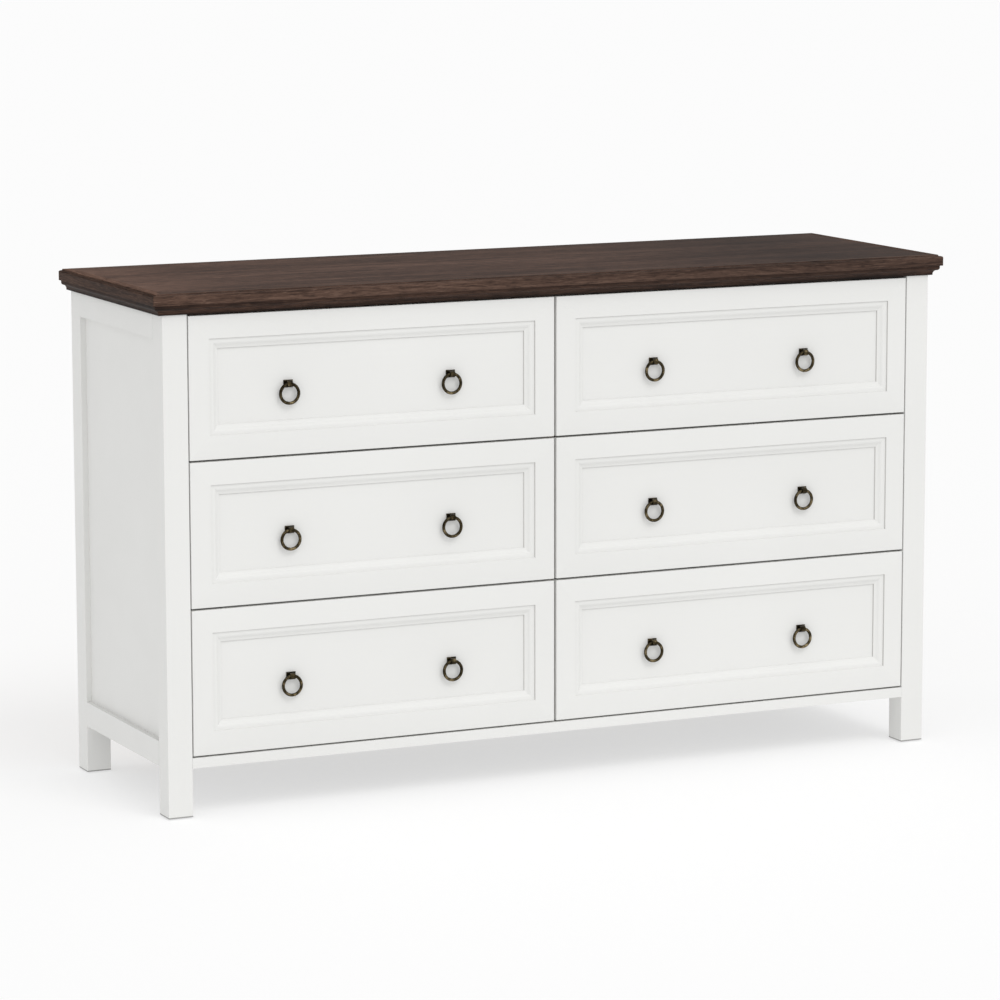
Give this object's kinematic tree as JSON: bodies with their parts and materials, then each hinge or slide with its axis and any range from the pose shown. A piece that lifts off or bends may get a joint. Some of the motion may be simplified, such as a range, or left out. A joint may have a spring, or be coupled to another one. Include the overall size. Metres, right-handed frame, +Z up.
{
  "type": "six-drawer dresser",
  "caption": "Wide low dresser with a moulded walnut top, white frame-and-panel case on square legs, and inset panelled drawers with brass ring pulls.",
  "frame": {"origin": "on the floor, under the middle of the top", "axes": "+X along the dresser's width to its right seen from the front, -Y to the front, +Z up"},
  "size_m": [1.44, 0.446, 0.85],
  "materials": {
    "white_paint": "satin white paint over wood, softened edges",
    "walnut": "dark stained walnut with a satin lacquer",
    "hardwood": "planed beech, waxed where the drawers run",
    "drawer_wood": "clear-lacquered pale hardwood",
    "plywood": "sanded plywood, clear sealer",
    "grey_primer": "plywood rolled with matt grey primer",
    "antique_brass": "antiqued brass, darkened in the hollows",
    "zinc_steel": "zinc-plated steel",
    "nylon": "matte nylon"
  },
  "bodies": {
    "case": {"top_board": "walnut", "top_moulding_front": "walnut", "top_moulding_left": "walnut", "top_moulding_right": "walnut", "post_front_left": "white_paint", "post_front_right": "white_paint", "post_rear_left": "white_paint", "post_rear_right": "white_paint", "side_rail_top_left": "white_paint", "side_rail_top_right": "white_paint", "side_rail_bottom_left": "white_paint", "side_rail_bottom_right": "white_paint", "side_panel_left": "white_paint", "side_panel_right": "white_paint", "front_bottom_rail": "white_paint", "rear_bottom_rail": "hardwood", "front_top_rail": "hardwood", "rear_top_rail": "hardwood", "bottom_panel": "grey_primer", "centre_divider": "plywood", "back_panel": "plywood", "drawer_runners": "hardwood", "case_screws": "zinc_steel", "foot_glides": "nylon"},
    "drawer_bottom_left": {"drawer_bottom_left_front": "white_paint", "drawer_bottom_left_box": "drawer_wood", "drawer_bottom_left_bottom": "plywood", "drawer_bottom_left_hardware": "antique_brass"},
    "ring_bottom_left_outer": {"ring_bottom_left_outer": "antique_brass"},
    "ring_bottom_left_inner": {"ring_bottom_left_inner": "antique_brass"},
    "drawer_bottom_right": {"drawer_bottom_right_front": "white_paint", "drawer_bottom_right_box": "drawer_wood", "drawer_bottom_right_bottom": "plywood", "drawer_bottom_right_hardware": "antique_brass"},
    "ring_bottom_right_outer": {"ring_bottom_right_outer": "antique_brass"},
    "ring_bottom_right_inner": {"ring_bottom_right_inner": "antique_brass"},
    "drawer_middle_left": {"drawer_middle_left_front": "white_paint", "drawer_middle_left_box": "drawer_wood", "drawer_middle_left_bottom": "plywood", "drawer_middle_left_hardware": "antique_brass"},
    "ring_middle_left_outer": {"ring_middle_left_outer": "antique_brass"},
    "ring_middle_left_inner": {"ring_middle_left_inner": "antique_brass"},
    "drawer_middle_right": {"drawer_middle_right_front": "white_paint", "drawer_middle_right_box": "drawer_wood", "drawer_middle_right_bottom": "plywood", "drawer_middle_right_hardware": "antique_brass"},
    "ring_middle_right_outer": {"ring_middle_right_outer": "antique_brass"},
    "ring_middle_right_inner": {"ring_middle_right_inner": "antique_brass"},
    "drawer_top_left": {"drawer_top_left_front": "white_paint", "drawer_top_left_box": "drawer_wood", "drawer_top_left_bottom": "plywood", "drawer_top_left_hardware": "antique_brass"},
    "ring_top_left_outer": {"ring_top_left_outer": "antique_brass"},
    "ring_top_left_inner": {"ring_top_left_inner": "antique_brass"},
    "drawer_top_right": {"drawer_top_right_front": "white_paint", "drawer_top_right_box": "drawer_wood", "drawer_top_right_bottom": "plywood", "drawer_top_right_hardware": "antique_brass"},
    "ring_top_right_outer": {"ring_top_right_outer": "antique_brass"},
    "ring_top_right_inner": {"ring_top_right_inner": "antique_brass"}
  },
  "joints": [
    {"name": "drawer_bottom_left_slide", "type": "slide", "parent": "case", "child": "drawer_bottom_left", "axis": [0, -1, 0], "range_m": [0, 0.28]},
    {"name": "ring_bottom_left_outer_swing", "type": "hinge", "parent": "drawer_bottom_left", "child": "ring_bottom_left_outer", "pos_m": [-0.4828, -0.2042, 0.21695], "axis": [-1, 0, 0], "range_deg": [-7, 100]},
    {"name": "ring_bottom_left_inner_swing", "type": "hinge", "parent": "drawer_bottom_left", "child": "ring_bottom_left_inner", "pos_m": [-0.1968, -0.2042, 0.21695], "axis": [-1, 0, 0], "range_deg": [-7, 100]},
    {"name": "drawer_bottom_right_slide", "type": "slide", "parent": "case", "child": "drawer_bottom_right", "axis": [0, -1, 0], "range_m": [0, 0.28]},
    {"name": "ring_bottom_right_outer_swing", "type": "hinge", "parent": "drawer_bottom_right", "child": "ring_bottom_right_outer", "pos_m": [0.4613, -0.2042, 0.21695], "axis": [-1, 0, 0], "range_deg": [-7, 100]},
    {"name": "ring_bottom_right_inner_swing", "type": "hinge", "parent": "drawer_bottom_right", "child": "ring_bottom_right_inner", "pos_m": [0.1753, -0.2042, 0.21695], "axis": [-1, 0, 0], "range_deg": [-7, 100]},
    {"name": "drawer_middle_left_slide", "type": "slide", "parent": "case", "child": "drawer_middle_left", "axis": [0, -1, 0], "range_m": [0, 0.28]},
    {"name": "ring_middle_left_outer_swing", "type": "hinge", "parent": "drawer_middle_left", "child": "ring_middle_left_outer", "pos_m": [-0.4828, -0.2042, 0.45675], "axis": [-1, 0, 0], "range_deg": [-7, 100]},
    {"name": "ring_middle_left_inner_swing", "type": "hinge", "parent": "drawer_middle_left", "child": "ring_middle_left_inner", "pos_m": [-0.1968, -0.2042, 0.45675], "axis": [-1, 0, 0], "range_deg": [-7, 100]},
    {"name": "drawer_middle_right_slide", "type": "slide", "parent": "case", "child": "drawer_middle_right", "axis": [0, -1, 0], "range_m": [0, 0.28]},
    {"name": "ring_middle_right_outer_swing", "type": "hinge", "parent": "drawer_middle_right", "child": "ring_middle_right_outer", "pos_m": [0.4613, -0.2042, 0.45675], "axis": [-1, 0, 0], "range_deg": [-7, 100]},
    {"name": "ring_middle_right_inner_swing", "type": "hinge", "parent": "drawer_middle_right", "child": "ring_middle_right_inner", "pos_m": [0.1753, -0.2042, 0.45675], "axis": [-1, 0, 0], "range_deg": [-7, 100]},
    {"name": "drawer_top_left_slide", "type": "slide", "parent": "case", "child": "drawer_top_left", "axis": [0, -1, 0], "range_m": [0, 0.28]},
    {"name": "ring_top_left_outer_swing", "type": "hinge", "parent": "drawer_top_left", "child": "ring_top_left_outer", "pos_m": [-0.4828, -0.2042, 0.69385], "axis": [-1, 0, 0], "range_deg": [-7, 100]},
    {"name": "ring_top_left_inner_swing", "type": "hinge", "parent": "drawer_top_left", "child": "ring_top_left_inner", "pos_m": [-0.1968, -0.2042, 0.69385], "axis": [-1, 0, 0], "range_deg": [-7, 100]},
    {"name": "drawer_top_right_slide", "type": "slide", "parent": "case", "child": "drawer_top_right", "axis": [0, -1, 0], "range_m": [0, 0.28]},
    {"name": "ring_top_right_outer_swing", "type": "hinge", "parent": "drawer_top_right", "child": "ring_top_right_outer", "pos_m": [0.4613, -0.2042, 0.69385], "axis": [-1, 0, 0], "range_deg": [-7, 100]},
    {"name": "ring_top_right_inner_swing", "type": "hinge", "parent": "drawer_top_right", "child": "ring_top_right_inner", "pos_m": [0.1753, -0.2042, 0.69385], "axis": [-1, 0, 0], "range_deg": [-7, 100]}
  ]
}
